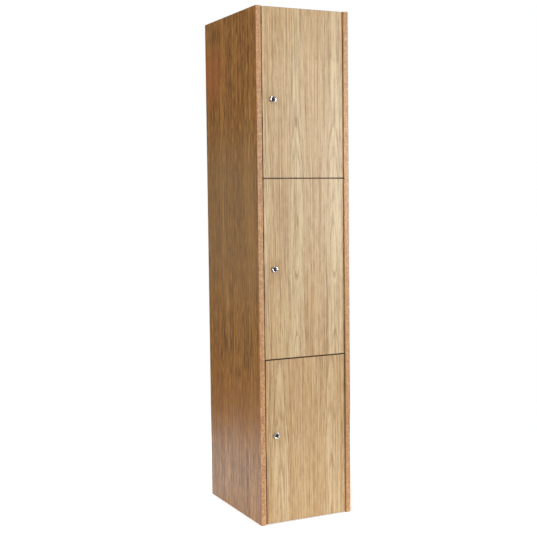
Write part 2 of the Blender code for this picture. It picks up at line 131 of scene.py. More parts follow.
def soft_box(name, place, target, size, power, colour=(1, 1, 1)):
    """An area light that faces a point."""
    light = bpy.data.lights.new(name, "AREA")
    light.shape = "RECTANGLE"
    light.size, light.size_y = size
    light.energy = power
    light.color = colour
    lamp = bpy.data.objects.new(name, light)
    bpy.context.scene.collection.objects.link(lamp)
    lamp.location = place
    lamp.rotation_euler = (Vector(target) - Vector(place)).to_track_quat("-Z", "Y").to_euler()


soft_box("main_light", (3.6, -3.7, 1.2), (0, -0.1, 0.75), (2.0, 2.0), 200, (1.0, 0.99, 0.965))
soft_box("overhead_light", (-0.3, -0.7, 3.4), (-0.1, -0.1, 0), (2.4, 2.4), 40)
soft_box("left_light", (-3.0, -0.7, 1.2), (0, 0, 0.8), (1.2, 2.0), 46, (1.0, 0.97, 0.92))
soft_box("back_light", (0.9, 3.2, 1.6), (0, 0, 0.8), (2.0, 2.0), 50)
soft_box("right_light", (3.2, 0.9, 1.4), (0, 0, 0.8), (1.6, 2.0), 30)

FLOOR_RADIUS = 6
FLOOR_DROP = 0.0005            # keeps the paper clear of the boards that stand on it
FADE_START, FADE_END = 0.8, 1.5
PAPER_GLOW = (0.62, 0.62, 0.62, 1)
bpy.ops.mesh.primitive_circle_add(vertices=96, radius=FLOOR_RADIUS, fill_type="NGON",
                                  location=(0, 0, -FLOOR_DROP))
floor = bpy.context.object
floor.name = "paper_floor"
paper, tree, shader = new_material("white_paper")
spot = node(tree, "TexCoord").outputs["Object"]
reach = node(tree, "VectorMath", {"operation": "LENGTH"}, in0=spot).outputs["Value"]
fibre = node(tree, "TexNoise", Vector=spot, Scale=60.0, Detail=4.0).outputs["Fac"]
tone = blended(tree, fibre, (0.90, 0.90, 0.90, 1), (0.94, 0.94, 0.94, 1))
tree.links.new(tone, shader.inputs["Base Color"])
shader.inputs["Roughness"].default_value = 0.9
tree.links.new(ramped(tree, reach, FADE_START, FADE_END, 1.0, 0.0, smooth=True),
               shader.inputs["Alpha"])
ray = node(tree, "LightPath").outputs
seen = maths(tree, "MAXIMUM", ray["Is Camera Ray"], ray["Is Glossy Ray"])
tree.links.new(blended(tree, seen, (0, 0, 0, 1), PAPER_GLOW), shader.inputs["Emission Color"])
shader.inputs["Emission Strength"].default_value = 1.0
floor.data.materials.append(paper)
floor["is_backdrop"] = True

# ---- Doors -----------------------------------------------------------------------------------
# 16 mm board faced with crown-cut oak veneer, lacquered, with painted shade along its edges for
# the gaps and seams round it. The upper and middle doors were cut from one sheet, so that their
# grain runs on across the joint.


def group_tree(name, inputs, outputs):
    """A shader node group with the named sockets; returns it and its input sockets."""
    tree = bpy.data.node_groups.new(name, "ShaderNodeTree")
    for title, kind, value in inputs:
        made = tree.interface.new_socket(name=title, in_out="INPUT",
                                         socket_type="NodeSocket" + kind)
        if value is not None:
            made.default_value = value
    for title, kind in outputs:
        tree.interface.new_socket(name=title, in_out="OUTPUT", socket_type="NodeSocket" + kind)
    return tree, tree.nodes.new("NodeGroupInput").outputs


def group_result(tree, **results):
    """Link a group's results to its output sockets."""
    end = tree.nodes.new("NodeGroupOutput")
    for title, socket in results.items():
        tree.links.new(socket, end.inputs[title])


def oak_group():
    """Crown-cut oak: growth rings about a pith behind the face, with pores, streaks and tone.

    Vector has the board's width in X, its thickness in Y and the grain's direction in Z. Leaves
    of veneer, each a Leaf Width wide, repeat about Heart, where the pith lies Pith Depth behind
    the face. Each change of that depth by a Ring Width makes one arch of the figure.
    """
    tree, given = group_tree("oak_veneer", (
        ("Vector", "Vector", None), ("Heart", "Float", 0.0), ("Leaf Width", "Float", 0.12),
        ("Pith Depth", "Float", 0.02), ("Ring Width", "Float", 0.004), ("Seed", "Float", 0.0),
        ("Ring Strength", "Float", 0.6), ("Pore Strength", "Float", 0.5),
        ("Streak Strength", "Float", 0.4), ("Fleck Strength", "Float", 0.3),
        ("Pale", "Color", (0.7, 0.6, 0.4, 1)), ("Tan", "Color", (0.6, 0.4, 0.25, 1)),
        ("Dark", "Color", (0.3, 0.18, 0.08, 1)),
    ), (("Color", "Color"), ("Roughness", "Float"), ("Height", "Float")))
    place = node(tree, "SeparateXYZ", Vector=given["Vector"]).outputs

    def noise(x, z, scale_x, scale_z, detail=2.0, shift=0.0):
        """Noise that changes scale_x times a metre across the grain and scale_z along it."""
        across = maths(tree, "MULTIPLY_ADD", x, scale_x, shift)
        along = maths(tree, "MULTIPLY_ADD", z, scale_z, given["Seed"])
        deep = maths(tree, "MULTIPLY", place["Y"], scale_x)
        spot = node(tree, "CombineXYZ", X=across, Y=deep, Z=along).outputs[0]
        return node(tree, "TexNoise", Vector=spot, Scale=1.0, Detail=detail).outputs["Fac"]

    def swing(value, amount, start):
        """start plus noise that swings by amount about nothing."""
        centred = maths(tree, "SUBTRACT", value, 0.5)
        return maths(tree, "MULTIPLY_ADD", centred, amount, start)

    # Rings: the distance from a pith that wanders a little along the board
    from_heart = maths(tree, "SUBTRACT", place["X"], given["Heart"])
    leaf = maths(tree, "ROUND", maths(tree, "DIVIDE", from_heart, given["Leaf Width"]))
    leaf_start = maths(tree, "MULTIPLY", given["Leaf Width"], -1.0)
    local = maths(tree, "MULTIPLY_ADD", leaf, leaf_start, from_heart)
    along = maths(tree, "MULTIPLY_ADD", leaf, 0.021, place["Z"])
    local = swing(noise(leaf, along, 3.7, 2.3, 1.0), 0.022, local)
    local = swing(noise(local, along, 60.0, 7.0, 2.0, 11.0), 0.0035, local)
    depth = swing(noise(leaf, along, 5.1, 5.0, 1.0, 31.0), 0.003, given["Pith Depth"])
    depth = maths(tree, "ADD", depth, place["Y"])
    squares = maths(tree, "ADD", maths(tree, "MULTIPLY", local, local),
                    maths(tree, "MULTIPLY", depth, depth))
    radius = maths(tree, "SQRT", squares)
    rings = maths(tree, "DIVIDE", radius, given["Ring Width"])
    rings = swing(noise(rings, along, 0.45, 0.5, 1.0, 5.0), 2.4, rings)
    phase = maths(tree, "FRACT", rings)
    year = node(tree, "TexWhiteNoise", {"noise_dimensions": "1D"},
                W=maths(tree, "FLOOR", rings)).outputs["Value"]
    early = maths(tree, "MULTIPLY", ramped(tree, phase, 0.0, 0.12, smooth=True),
                  ramped(tree, phase, 0.16, 0.80, 1.0, 0.0, smooth=True))
    early = maths(tree, "MULTIPLY", early, ramped(tree, year, 0.0, 1.0, 0.3, 1.0))
    patches = noise(place["X"], place["Z"], 26.0, 6.0, 2.0, 47.0)
    early = maths(tree, "MULTIPLY", early, ramped(tree, patches, 0.32, 0.62, 0.5, 1.0))
    broken = noise(place["X"], place["Z"], 480.0, 24.0, 2.0, 61.0)
    early = maths(tree, "MULTIPLY", early, ramped(tree, broken, 0.36, 0.60, 0.35, 1.0))

    # Pores: fine dashes, more of them in each ring's early wood
    bias = maths(tree, "MULTIPLY", early, 0.17)
    fine = maths(tree, "ADD", noise(place["X"], place["Z"], 1500.0, 62.0, 2.0), bias)
    dash = maths(tree, "ADD", noise(place["X"], place["Z"], 780.0, 38.0, 1.0, 71.0), bias)
    pore = maths(tree, "MAXIMUM", ramped(tree, fine, 0.60, 0.72), ramped(tree, dash, 0.66, 0.76))

    # Colour: pale at the heart and tan beyond it, then rings, streaks, hairlines, pores, flecks
    streak = noise(place["X"], place["Z"], 210.0, 2.6, 3.0, 23.0)
    hair = noise(place["X"], place["Z"], 430.0, 4.5, 2.0, 83.0)
    broad = noise(local, along, 34.0, 1.3, 3.0, 3.0)
    from_pith = maths(tree, "ADD", maths(tree, "ABSOLUTE", local), radius)
    off_heart = ramped(tree, from_pith, 0.018, 0.078, smooth=True)
    warm = maths(tree, "MULTIPLY_ADD", off_heart, 0.55, ramped(tree, broad, 0.36, 0.66, 0.0, 0.5))
    colour = blended(tree, warm, given["Pale"], given["Tan"])
    share = maths(tree, "MULTIPLY", early, given["Ring Strength"])
    colour = blended(tree, share, colour, given["Dark"])
    share = maths(tree, "MULTIPLY", ramped(tree, streak, 0.49, 0.66), given["Streak Strength"])
    colour = blended(tree, share, colour, given["Dark"])
    share = maths(tree, "MULTIPLY", ramped(tree, hair, 0.52, 0.72), given["Streak Strength"])
    colour = blended(tree, share, colour, given["Dark"])
    colour = blended(tree, ramped(tree, streak, 0.46, 0.28, 0.0, 0.5), colour, given["Pale"])
    share = maths(tree, "MULTIPLY", pore, given["Pore Strength"])
    colour = blended(tree, share, colour, given["Dark"])
    fleck = noise(place["X"], place["Z"], 210.0, 24.0, 3.0, 95.0)
    share = maths(tree, "MULTIPLY", ramped(tree, fleck, 0.50, 0.70), given["Fleck Strength"])
    colour = blended(tree, share, colour, given["Dark"])
    share = maths(tree, "MULTIPLY", ramped(tree, fleck, 0.50, 0.32), given["Fleck Strength"])
    colour = blended(tree, share, colour, given["Pale"])
    satin = ramped(tree, broad, 0.3, 0.7, 0.34, 0.42)
    sunk = maths(tree, "MULTIPLY_ADD", pore, -0.8, maths(tree, "MULTIPLY", early, -0.2))
    group_result(tree, Color=colour, Roughness=maths(tree, "MULTIPLY_ADD", pore, 0.2, satin),
                 Height=sunk)
    return tree


OAK = oak_group()


def oak_material(name, axes="XYZ", shift=(0, 0, 0), depth_curve=None, coat=0.22, dull=0.0,
                 **values):
    """Lacquered oak; axes names the board's width, thickness and grain, and shift centres it.

    depth_curve gives the pith's depth, in tenths of a metre, over the locker's height from 0 to
    1. coat is how much gloss the lacquer adds, and dull how much roughness.
    """
    material, tree, shader = new_material(name)
    corner = node(tree, "SeparateXYZ", Vector=node(tree, "TexCoord").outputs["Object"]).outputs
    spot = node(tree, "CombineXYZ", X=corner[axes[0]], Y=corner[axes[1]], Z=corner[axes[2]])
    spot = node(tree, "Mapping", Vector=spot.outputs[0], Location=shift).outputs[0]
    wood = tree.nodes.new("ShaderNodeGroup")
    wood.node_tree = OAK
    tree.links.new(spot, wood.inputs["Vector"])
    for key, value in values.items():
        wood.inputs[key.replace("_", " ")].default_value = value
    if depth_curve:
        curve = tree.nodes.new("ShaderNodeFloatCurve")
        line = curve.mapping.curves[0]
        line.points[0].location = depth_curve[0]
        line.points[1].location = depth_curve[-1]
        for point in depth_curve[1:-1]:
            line.points.new(*point)
        curve.mapping.update()
        tree.links.new(ramped(tree, corner["Z"], 0.0, cad_box[1][2]), curve.inputs["Value"])
        tree.links.new(maths(tree, "MULTIPLY", curve.outputs[0], 0.1), wood.inputs["Pith Depth"])
    tree.links.new(wood.outputs["Color"], shader.inputs["Base Color"])
    rough = maths(tree, "ADD", wood.outputs["Roughness"], dull)
    tree.links.new(rough, shader.inputs["Roughness"])
    bump = node(tree, "Bump", Height=wood.outputs["Height"], Strength=0.35, Distance=0.0002)
    tree.links.new(bump.outputs[0], shader.inputs["Normal"])
    shader.inputs["Coat Weight"].default_value = coat
    shader.inputs["Coat Roughness"].default_value = 0.2
    return material


def overlay(material, mask, colour, blend="MULTIPLY"):
    """Blend one more colour over a material's colour, by a mask from its own tree."""
    tree = material.node_tree
    target = tree.nodes["Principled BSDF"].inputs["Base Color"]
    tree.links.new(blended(tree, mask, target.links[0].from_socket, colour, blend), target)


def dress(material, *names):
    """Give CAD nodes their finish."""
    for name in names:
        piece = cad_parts[name]
        piece.data.materials.clear()
        piece.data.materials.append(material)


def handling_group():
    """Where hands darken the lacquer: a ragged patch about a place on the face."""
    tree, given = group_tree("handling_marks", (
        ("Vector", "Vector", None), ("Centre", "Vector", None), ("Reach", "Float", 0.05),
    ), (("Mask", "Float"),))
    away = node(tree, "VectorMath", {"operation": "DISTANCE"}, in0=given["Vector"],
                in1=given["Centre"]).outputs["Value"]
    cloud = node(tree, "TexNoise", Vector=given["Vector"], Scale=38.0, Detail=4.0).outputs["Fac"]
    ragged = maths(tree, "MULTIPLY_ADD", cloud, 1.1, 0.45)
    near = maths(tree, "DIVIDE", maths(tree, "MULTIPLY", away, ragged), given["Reach"])
    group_result(tree, Mask=ramped(tree, near, 0.2, 1.0, 1.0, 0.0, smooth=True))
    return tree


HANDLING = handling_group()
MM = 0.001
TIERS = ("upper", "middle", "lower")
GAP_SHADE_REACH = 1.1 * MM          # how far the painted gap shade reaches onto the face
HAND_REACH = 45 * MM           # the handling marks' radius about the lock
upper_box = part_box("upper_door")
face_shift = (0, -upper_box[0].y, 0)
door_grain = {"Ring_Width": 0.0056, "Pore_Strength": 0.5, "Fleck_Strength": 0.30,
              "shift": face_shift}
door_colours = {"Pale": (0.81, 0.66, 0.39, 1), "Tan": (0.68, 0.455, 0.225, 1),
                "Dark": (0.29, 0.125, 0.032, 1)}
figured = {
    "Heart": -0.027, "Leaf_Width": 0.124, "Ring_Strength": 0.82, "Streak_Strength": 0.62,
    "Seed": 3.0,
    "depth_curve": ((0.0, 0.10), (0.32, 0.12), (0.40, 0.20), (0.445, 0.22), (0.49, 0.16),
                    (0.53, 0.13), (0.58, 0.16), (0.67, 0.24), (0.76, 0.33), (0.84, 0.36),
                    (1.0, 0.37)), **door_grain, **door_colours}
plain_colours = {"Pale": (0.76, 0.585, 0.34, 1), "Tan": (0.64, 0.425, 0.20, 1),
                 "Dark": (0.29, 0.125, 0.030, 1)}
plain = {
    "Heart": -0.088, "Leaf_Width": 0.172, "Ring_Strength": 0.76, "Streak_Strength": 0.60,
    "Seed": 19.0,
    "depth_curve": ((0.0, 0.12), (0.10, 0.17), (0.20, 0.27), (0.28, 0.33), (0.34, 0.35),
                    (1.0, 0.36)), **door_grain, **plain_colours}
for tier, look in zip(TIERS, (figured, figured, plain)):
    door_wood = oak_material(f"oak_{tier}_door", **look)
    tree = door_wood.node_tree
    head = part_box(tier + "_lock_barrel")
    marks = tree.nodes.new("ShaderNodeGroup")
    marks.node_tree = HANDLING
    marks.inputs["Centre"].default_value = (head[0] + head[1]) / 2
    marks.inputs["Reach"].default_value = HAND_REACH
    spot = node(tree, "TexCoord").outputs["Object"]
    tree.links.new(spot, marks.inputs["Vector"])
    handled = maths(tree, "MULTIPLY", marks.outputs["Mask"], 0.35)
    overlay(door_wood, handled, (0.72, 0.62, 0.50, 1))
    place = node(tree, "SeparateXYZ", Vector=spot).outputs
    low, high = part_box(tier + "_door")
    # Painted shade: the face darkens near each edge, standing in for the shade in the gaps and
    # seams round the door; along the left edge it comes and goes.
    edges = [ramped(tree, place[axis], end + GAP_SHADE_REACH * side, end, smooth=True)
             for axis, end, side in (("X", low.x, 1), ("X", high.x, -1), ("Z", low.z, 1),
                                     ("Z", high.z, -1))]
    gap_shade_noise = node(tree, "TexNoise", {"noise_dimensions": "1D"}, W=place["Z"], Scale=9.0, Detail=2.0)
    gap_shade_strength = ramped(tree, gap_shade_noise.outputs["Fac"], 0.44, 0.58, 0.15, 1.0)
    edges[0] = maths(tree, "MULTIPLY", edges[0], gap_shade_strength)
    gap_shade = maths(tree, "MAXIMUM", maths(tree, "MAXIMUM", edges[0], edges[1]),
                    maths(tree, "MAXIMUM", edges[2], edges[3]))
    overlay(door_wood, gap_shade, (0.07, 0.04, 0.025, 1))
    dress(door_wood, tier + "_door")

# ---- Side panels -----------------------------------------------------------------------------
# Full-height veneered boards, darker than the doors, with paler veneer on their inner faces. The
# lacquer has yellowed, and the left panel is redder near the top and richer brown low down.
side_colours = {"Pale": (0.64, 0.32, 0.085, 1), "Tan": (0.42, 0.172, 0.036, 1),
                "Dark": (0.10, 0.038, 0.008, 1)}
side_look = {"Ring_Width": 0.0068, "Ring_Strength": 0.85, "Pore_Strength": 0.55,
             "Streak_Strength": 1.0, "Fleck_Strength": 0.6, "coat": 0.22, **side_colours}


def zone(tree, value, rise, fall):
    """A mask that rises over one range and falls again over another."""
    return maths(tree, "MULTIPLY", ramped(tree, value, *rise, smooth=True),
                 ramped(tree, value, *fall, 1.0, 0.0, smooth=True))


left_wood = oak_material(
    "oak_left_side", axes="YXZ", shift=(0, -cad_box[0][0], 0), Heart=0.055, Leaf_Width=0.19,
    Seed=41.0, depth_curve=((0.0, 0.30), (0.25, 0.20), (0.45, 0.26), (0.62, 0.16), (0.8, 0.26),
                            (1.0, 0.36)), **side_look)
tree = left_wood.node_tree
spot = node(tree, "TexCoord").outputs["Object"]
place = node(tree, "SeparateXYZ", Vector=spot).outputs
rosy = maths(tree, "MULTIPLY", ramped(tree, place["Y"], 0.0, 0.13, smooth=True),
             zone(tree, place["Z"], (1.22, 1.34), (1.38, 1.47)))
overlay(left_wood, maths(tree, "MULTIPLY", rosy, 0.5), (0.52, 0.16, 0.045, 1), "MIX")
grey = zone(tree, place["Z"], (0.45, 0.85), (1.02, 1.25))
overlay(left_wood, maths(tree, "MULTIPLY", grey, 0.40), (0.40, 0.27, 0.135, 1), "MIX")
rich = zone(tree, place["Z"], (0.14, 0.28), (0.36, 0.50))
overlay(left_wood, maths(tree, "MULTIPLY", rich, 0.35), (0.40, 0.165, 0.035, 1), "MIX")
dress(left_wood, "left_side_panel")
right_wood = oak_material(
    "oak_right_side", axes="YXZ", shift=(0, cad_box[0][0], 0), Heart=-0.04, Leaf_Width=0.21,
    Seed=63.0, depth_curve=((0.0, 0.36), (0.3, 0.26), (0.5, 0.18), (0.72, 0.24), (1.0, 0.34)),
    **side_look)
dress(right_wood, "right_side_panel")
lining = oak_material("oak_side_lining", axes="YXZ", Heart=0.0, Leaf_Width=0.2, Seed=90.0,
                      Ring_Width=0.0056, Ring_Strength=0.5, Streak_Strength=0.6, Pith_Depth=0.03,
                      coat=0.12, **plain_colours)
INNER_FACE = cad_box[1][0] - 15 * MM   # a face nearer the middle than this looks inwards
for name in ("left_side_panel", "right_side_panel"):
    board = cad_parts[name].data
    board.materials.append(lining)
    for face in board.polygons:
        if abs(face.center.x) < INNER_FACE:
            face.material_index = 1

# ---- Edge bands ------------------------------------------------------------------------------
# Solid lipping, 3 mm thick, of a pinker, mottled timber. It is glued to the side panels' front
# edges and lacquered with them.
band_wood = oak_material(
    "edge_band_wood", shift=face_shift, Heart=0.6, Leaf_Width=5.0, Ring_Width=0.009, Seed=77.0,
    Ring_Strength=0.3, Pore_Strength=0.4, Streak_Strength=0.3, Pith_Depth=0.02,
    Fleck_Strength=0.5,
    Pale=(0.68, 0.38, 0.17, 1), Tan=(0.55, 0.255, 0.10, 1), Dark=(0.30, 0.11, 0.035, 1))
tree = band_wood.node_tree
spot = node(tree, "TexCoord").outputs["Object"]
mottle = node(tree, "TexNoise", Vector=spot, Scale=150.0, Detail=3.0).outputs["Fac"]
overlay(band_wood, ramped(tree, mottle, 0.45, 0.65, 0.0, 0.6), (0.78, 0.51, 0.26, 1), "MIX")
dress(band_wood, "left_edge_band", "right_edge_band")

# ---- Top, bottom and shelves -----------------------------------------------------------------
# The same board, dowelled between the sides, with the grain from side to side. The top's lacquer
# has gone dull, as dust is wiped off it.
cross_look = {"axes": "YZX", "Heart": 0.03, "Leaf_Width": 0.24, "Ring_Width": 0.0048,
              "Ring_Strength": 0.5, "Pith_Depth": 0.03, "Seed": 57.0}
inner_wood = oak_material("oak_inner", coat=0.15, **cross_look, **plain_colours)
dress(inner_wood, "bottom_panel", "upper_shelf", "lower_shelf")
top_wood = oak_material("oak_top", shift=(0, -cad_box[1][2], 0), coat=0.0, dull=0.35,
                        **cross_look, **side_colours)
dress(top_wood, "top_panel")

# ---- Back panel ------------------------------------------------------------------------------
# 6 mm hardboard let into the side panels' rabbets. Small round-headed pins hold it, down both
# sides and along the top, the bottom and the shelves.
back_board, tree, shader = new_material("hardboard")
spot = node(tree, "TexCoord").outputs["Object"]
flecks = node(tree, "TexNoise", Vector=spot, Scale=420.0, Detail=3.0).outputs["Fac"]
cloud = node(tree, "TexNoise", Vector=spot, Scale=9.0, Detail=3.0).outputs["Fac"]
brown = blended(tree, ramped(tree, cloud, 0.30, 0.70), (0.235, 0.130, 0.065, 1),
                (0.215, 0.118, 0.058, 1))
brown = blended(tree, ramped(tree, flecks, 0.52, 0.75, 0.0, 0.6), brown, (0.38, 0.25, 0.15, 1))
tree.links.new(brown, shader.inputs["Base Color"])
tree.links.new(ramped(tree, flecks, 0.3, 0.7, 0.62, 0.8), shader.inputs["Roughness"])
bump = node(tree, "Bump", Height=flecks, Strength=0.3, Distance=0.0003)
tree.links.new(bump.outputs[0], shader.inputs["Normal"])
dress(back_board, "back_panel")


def metal_material(name, bright, dull, rough, grain=260.0):
    """Metal with faint handling marks."""
    material, tree, shader = new_material(name)
    spot = node(tree, "TexCoord").outputs["Object"]
    smear = node(tree, "TexNoise", Vector=spot, Scale=grain, Detail=4.0).outputs["Fac"]
    tree.links.new(blended(tree, ramped(tree, smear, 0.35, 0.7), bright, dull),
                   shader.inputs["Base Color"])
    tree.links.new(ramped(tree, smear, 0.3, 0.7, rough, rough + 0.12), shader.inputs["Roughness"])
    shader.inputs["Metallic"].default_value = 1.0
    return material


def edit(piece):
    """Enter edit mode on one piece, with its faces ready to pick."""
    bpy.ops.object.select_all(action="DESELECT")
    piece.select_set(True)
    bpy.context.view_layer.objects.active = piece
    bpy.ops.object.mode_set(mode="EDIT")
    bpy.ops.mesh.select_mode(type="FACE")


def pick(piece, test):
    """In edit mode, select only the faces whose centre and normal pass a test."""
    bpy.ops.mesh.select_all(action="DESELECT")
    mesh = bmesh.from_edit_mesh(piece.data)
    for face in mesh.faces:
        if test(face.calc_center_median(), face.normal):
            face.select_set(True)
    bmesh.update_edit_mesh(piece.data)


def inset(width, depth=0.0):
    """Inset the picked faces, and raise them by depth."""
    bpy.ops.mesh.inset(thickness=width, depth=depth, use_even_offset=True)


def ridges(*steps):
    """Inset the picked faces in steps of a width and a rise, in millimetres."""
    for width, rise in steps:
        inset(width * MM, rise * MM)


def rod_at(name, radius, length, centre, axis="Y", sides=48):
    """A cylinder along Y or Z, with its place applied."""
    bpy.ops.object.select_all(action="DESELECT")
    bpy.ops.mesh.primitive_cylinder_add(
        vertices=sides, radius=radius, depth=length, location=centre,
        rotation=(math.pi / 2 if axis == "Y" else 0, 0, 0))
    bpy.ops.object.transform_apply(location=True, rotation=True, scale=True)
    piece = bpy.context.object
    piece.name = name
    return piece


def carve(piece, size, centre):
    """Cut a box out of a piece."""
    bpy.ops.object.select_all(action="DESELECT")
    bpy.ops.mesh.primitive_cube_add(size=1, location=centre)
    tool = bpy.context.object
    tool.scale = size
    modifier = piece.modifiers.new("cut", "BOOLEAN")
    modifier.operation = "DIFFERENCE"
    modifier.object = tool
    modifier.solver = "EXACT"
    bpy.context.view_layer.update()
    bpy.ops.object.select_all(action="DESELECT")
    piece.select_set(True)
    bpy.context.view_layer.objects.active = piece
    bpy.ops.object.modifier_apply(modifier=modifier.name)
    bpy.data.objects.remove(tool, do_unlink=True)


def smooth(piece, angle=32):
    """Shade a piece smooth, up to an angle between faces in degrees."""
    bpy.ops.object.select_all(action="DESELECT")
    piece.select_set(True)
    bpy.context.view_layer.objects.active = piece
    bpy.ops.object.shade_smooth_by_angle(angle=math.radians(angle))


def settle(piece, material, body, slot, *nodes):
    """Finish a piece: its material, the body it rides on and the CAD nodes it stands for."""
    piece.data.materials.clear()
    piece.data.materials.append(material)
    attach(piece, body)
    if nodes:
        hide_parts(*nodes)
    return piece


def moved_copy(piece, name, matrix):
    """A copy with its own mesh, moved by a matrix."""
    copy = bpy.data.objects.new(name, piece.data.copy())
    copy.data.transform(matrix)
    bpy.context.scene.collection.objects.link(copy)
    return copy


def row_of(model, name, matrices):
    """One mesh made of a model repeated at each matrix."""
    copies = [moved_copy(model, name, matrix) for matrix in matrices]
    bpy.ops.object.select_all(action="DESELECT")
    for copy in copies:
        copy.select_set(True)
    bpy.context.view_layer.objects.active = copies[0]
    bpy.ops.object.join()
    copies[0].name = name
    return copies[0]


zinc = metal_material("zinc_finish", (0.66, 0.66, 0.66, 1), (0.50, 0.51, 0.52, 1), 0.28)
PIN_INSET = 5 * MM             # from the back's side edges
PIN_ROW = 8 * MM               # from a board's underside, and from the back's top edge
PIN_FIRST, PIN_PITCH, PIN_COUNT = 0.03, 0.1464, 11
PIN_COLUMNS = (-0.07, 0, 0.07)
pin_model = rod_at("pin_model", 1.5 * MM, 0.3 * MM, (0, 0, 0), "Z", 20)
edit(pin_model)
pick(pin_model, lambda at, normal: normal.z > 0.9)
ridges((0.4, 0.15), (0.4, 0.05))
bpy.ops.object.mode_set(mode="OBJECT")
smooth(pin_model, 60)
low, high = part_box("back_panel")
to_back = Matrix.Rotation(-math.pi / 2, 4, "X")
pin_places = [(x, PIN_FIRST + PIN_PITCH * i)
              for x in (low.x + PIN_INSET, high.x - PIN_INSET) for i in range(PIN_COUNT)]
pin_places += [(x, z) for x in PIN_COLUMNS
               for z in (PIN_ROW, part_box("lower_shelf")[0].z + PIN_ROW,
                         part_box("upper_shelf")[0].z + PIN_ROW, high.z - PIN_ROW)]
pins = row_of(pin_model, "back_panel_pins",
              [Matrix.Translation((x, high.y, z)) @ to_back for x, z in pin_places])
settle(pins, zinc, "carcass", "steel")
bpy.data.objects.remove(pin_model, do_unlink=True)

# ---- Hinges ----------------------------------------------------------------------------------
# A continuous hinge of antique brass on each door, its knuckles just proud of the door's face.
# Countersunk screws hold one leaf to the side panel and the other to the door's edge.
brass = metal_material("antique_brass", (0.46, 0.27, 0.12, 1), (0.30, 0.165, 0.07, 1), 0.32)


def refined(node_name, ease=0.0, angle=32):
    """A CAD node's copy with its triangles merged into whole faces and its edges eased."""
    piece = bpy.data.objects.new(node_name + "_finished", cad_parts[node_name].data.copy())
    bpy.context.scene.collection.objects.link(piece)
    edit(piece)
    bpy.ops.mesh.select_all(action="SELECT")
    bpy.ops.mesh.remove_doubles(threshold=0.000004)
    bpy.ops.mesh.dissolve_limited(angle_limit=math.radians(1))
    bpy.ops.object.mode_set(mode="OBJECT")
    if ease:
        bevel = piece.modifiers.new("ease", "BEVEL")
        bevel.width = ease
        bevel.segments = 2
        bevel.limit_method = "ANGLE"
        bevel.angle_limit = math.radians(40)
        bpy.ops.object.modifier_apply(modifier="ease")
    smooth(piece, angle)
    return piece


SLOT_SIZE = (3.4 * MM, 0.8 * MM, 0.35 * MM)
screw_model = rod_at("screw_model", 3.1 * MM, 0.4 * MM, (0, 0, -0.05 * MM), "Z", 32)
edit(screw_model)
pick(screw_model, lambda at, normal: normal.z > 0.9)
ridges((0.25, 0.05))
bpy.ops.object.mode_set(mode="OBJECT")
for size in (SLOT_SIZE, (SLOT_SIZE[1], SLOT_SIZE[0], SLOT_SIZE[2])):
    carve(screw_model, size, (0, 0, 0.15 * MM))
smooth(screw_model)
LEAF_FACE = 0.4 * MM           # from the hinge's axis to each leaf's face
LEAF_MIDDLE = 6.25 * MM        # from a leaf's rear edge to the line of screws
LEAF_END = 15 * MM             # from a leaf's end to its first screw
LEAF_SCREWS = 7
for tier in TIERS:
    axis_x = sum(corner.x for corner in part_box(tier + "_hinge_pin")) / 2
    for part, body, side in (("frame_leaf", "carcass", 1),
                             ("door_leaf", tier + "_door_body", -1)):
        leaf_name = f"{tier}_hinge_{part}"
        settle(refined(leaf_name), brass, body, "hinge_bronze", leaf_name)
        low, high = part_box(leaf_name)
        step = (high.z - low.z - 2 * LEAF_END) / (LEAF_SCREWS - 1)
        facing = Matrix.Rotation(-side * math.pi / 2, 4, "Y")
        places = [Matrix.Translation((axis_x + side * LEAF_FACE, high.y - LEAF_MIDDLE,
                                      low.z + LEAF_END + i * step)) @ facing
                  for i in range(LEAF_SCREWS)]
        settle(row_of(screw_model, leaf_name + "_screws", places), brass, body, "hinge_bronze")
    pin_name = tier + "_hinge_pin"
    settle(refined(pin_name), brass, "carcass", "hinge_bronze", pin_name)

# ---- Lock cylinders --------------------------------------------------------------------------
# Turned brass, chromium plated, pushed through the door from its face: a domed rim, a flat land
# and a dished edge round the key plug. The upper door's lock is copied to the other two.
lock_height = {tier: sum(corner.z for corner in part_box(tier + "_lock_barrel")) / 2
               for tier in TIERS}


def fit_to_doors(model, part, material, body, slot):
    """Give each door a copy of a model of the upper lock's part, and remove the model."""
    for tier in TIERS:
        drop = Matrix.Translation((0, 0, lock_height[tier] - lock_height["upper"]))
        piece = moved_copy(model, f"{tier}_{part}_finished", drop)
        rides = "carcass" if body == "carcass" else f"{tier}_{body}_body"
        stands_for = [name for name in (f"{tier}_{part}",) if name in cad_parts]
        settle(piece, material, rides, slot, *stands_for)
    bpy.data.objects.remove(model, do_unlink=True)


RIM_ROUND = 0.9 * MM           # the height of the head's rounded rim
SEAT_SINK = 0.3 * MM           # the head stops this far in front of the door's face
DISH_DEPTH = 1.4 * MM          # from the rim's front to the dish's floor
HEAD_OVERHANG = 1.0 * MM       # how much wider the head's radius is than the barrel's
HEAD_WALL = 3.2 * MM           # from the head's side to the bore
chrome = metal_material("chrome_finish", (0.80, 0.80, 0.82, 1), (0.66, 0.66, 0.69, 1), 0.07)
low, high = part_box("upper_lock_barrel")
centre = (low + high) / 2
head_radius = (high.x - low.x) / 2
seat = upper_box[0].y - SEAT_SINK
rim = low.y + RIM_ROUND
barrel = rod_at("upper_lock_cylinder", head_radius, seat - rim,
                (centre.x, (seat + rim) / 2, centre.z), sides=96)
edit(barrel)
pick(barrel, lambda at, normal: normal.y < -0.9)
ridges((0.2, 0.4), (0.3, 0.3), (0.4, 0.2), (1.1, 0.0), (0.25, -0.15), (0.95, -1.25))
bore_radius = head_radius - HEAD_WALL
bore_length = high.y - low.y - DISH_DEPTH
bpy.ops.mesh.extrude_region_move(TRANSFORM_OT_translate={"value": (0, bore_length, 0)})
bpy.ops.mesh.delete(type="FACE")
pick(barrel, lambda at, normal: normal.y > 0.9 and abs(at.y - seat) < 0.1 * MM)
inset(HEAD_OVERHANG)
bpy.ops.mesh.extrude_region_move(TRANSFORM_OT_translate={"value": (0, high.y - seat, 0)})
inset(head_radius - HEAD_OVERHANG - bore_radius)
